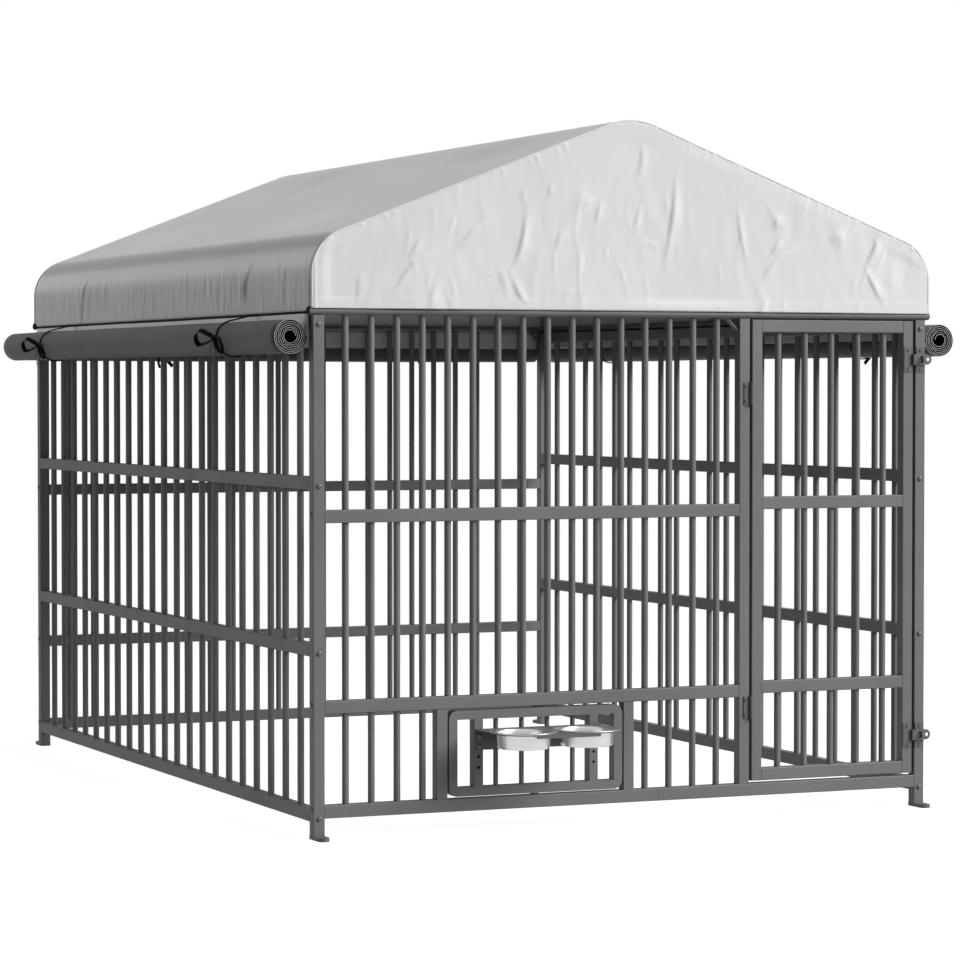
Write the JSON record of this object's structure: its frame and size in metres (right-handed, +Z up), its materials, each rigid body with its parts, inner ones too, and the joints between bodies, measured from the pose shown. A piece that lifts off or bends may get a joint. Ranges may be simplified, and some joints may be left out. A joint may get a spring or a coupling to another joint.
{
  "type": "outdoor dog kennel run",
  "caption": "Barred outdoor dog kennel run with a hinged door, turning bowl feeder, gabled fabric roof and rolled-up side curtains.",
  "frame": {"origin": "on the ground, at the centre of the four anchor holes and of the plan of the corner posts", "axes": "+Z up; the front with the door and the feeder faces -Y; the door is on the +X side"},
  "size_m": [1.68, 2.362, 1.5528],
  "materials": {
    "frame_paint": "satin",
    "fitting_paint": "satin",
    "fastener_steel": "satin",
    "bowl_steel": "polished",
    "cap_plastic": "matte",
    "cover_fabric": "matte",
    "curtain_fabric": "matte",
    "tie_tape": "matte"
  },
  "bodies": {
    "frame": {"front_left_post": "frame_paint", "front_right_post": "frame_paint", "rear_left_post": "frame_paint", "rear_right_post": "frame_paint", "anchor_feet": "fitting_paint", "front_bottom_rail": "frame_paint", "front_lower_rail": "frame_paint", "front_upper_rail": "frame_paint", "door_jamb": "frame_paint", "feeder_stiles": "frame_paint", "front_bars": "frame_paint", "rear_rails": "frame_paint", "rear_bars": "frame_paint", "left_rails": "frame_paint", "left_bars": "frame_paint", "right_rails": "frame_paint", "right_bars": "frame_paint", "rail_sleeves": "fitting_paint", "rail_plugs": "fitting_paint", "frame_bolts": "fastener_steel", "hinge_jamb_leaves": "fitting_paint", "hinge_pins": "fastener_steel", "hasp_staples": "fitting_paint", "frame_screws": "fastener_steel", "front_eave_tube": "frame_paint", "rear_eave_tube": "frame_paint", "left_eave_tube": "frame_paint", "right_eave_tube": "frame_paint", "eave_caps": "cap_plastic", "front_roof_bow": "frame_paint", "middle_roof_bow": "frame_paint", "rear_roof_bow": "frame_paint", "ridge_tube": "frame_paint", "roof_spigots": "fitting_paint", "corner_braces": "fitting_paint", "roof_cover": "cover_fabric", "left_curtain": "curtain_fabric", "right_curtain": "curtain_fabric", "rear_curtain": "curtain_fabric", "curtain_ties": "tie_tape"},
    "door": {"door_hinge_stile": "frame_paint", "door_latch_stile": "frame_paint", "door_rails": "frame_paint", "door_bars": "frame_paint", "hinge_door_leaves": "fitting_paint", "hasp_bases": "fitting_paint", "hasp_pins": "fastener_steel", "door_screws": "fastener_steel"},
    "upper_hasp": {"upper_hasp_strap": "fitting_paint"},
    "lower_hasp": {"lower_hasp_strap": "fitting_paint"},
    "feeder": {"feeder_frame": "frame_paint", "feeder_strips": "frame_paint", "feeder_bars": "frame_paint", "feeder_pivots": "fastener_steel", "bowl_holder": "fitting_paint", "holder_bolts": "fastener_steel"},
    "left_bowl_lift": {"left_bowl": "bowl_steel"},
    "right_bowl_lift": {"right_bowl": "bowl_steel"}
  },
  "joints": [
    {"name": "door_swing", "type": "hinge", "parent": "frame", "child": "door", "pos_m": [0.299, -1.0548, 0.245], "axis": [0, 0, -1], "range_deg": [0, 110]},
    {"name": "upper_hasp_swing", "type": "hinge", "parent": "door", "child": "upper_hasp", "pos_m": [0.717, -1.0558, 1.028], "axis": [0, 0, -1], "range_deg": [0, 120]},
    {"name": "lower_hasp_swing", "type": "hinge", "parent": "door", "child": "lower_hasp", "pos_m": [0.717, -1.0558, 0.166], "axis": [0, 0, -1], "range_deg": [0, 120]},
    {"name": "feeder_turn", "type": "hinge", "parent": "frame", "child": "feeder", "pos_m": [-0.229, -1.037, 0.077], "axis": [0, 0, 1], "range_deg": [0, 180]},
    {"name": "left_bowl_lift_out", "type": "slide", "parent": "feeder", "child": "left_bowl_lift", "axis": [0, 0, 1], "range_m": [0, 0.044]},
    {"name": "right_bowl_lift_out", "type": "slide", "parent": "feeder", "child": "right_bowl_lift", "axis": [0, 0, 1], "range_m": [0, 0.044]}
  ]
}
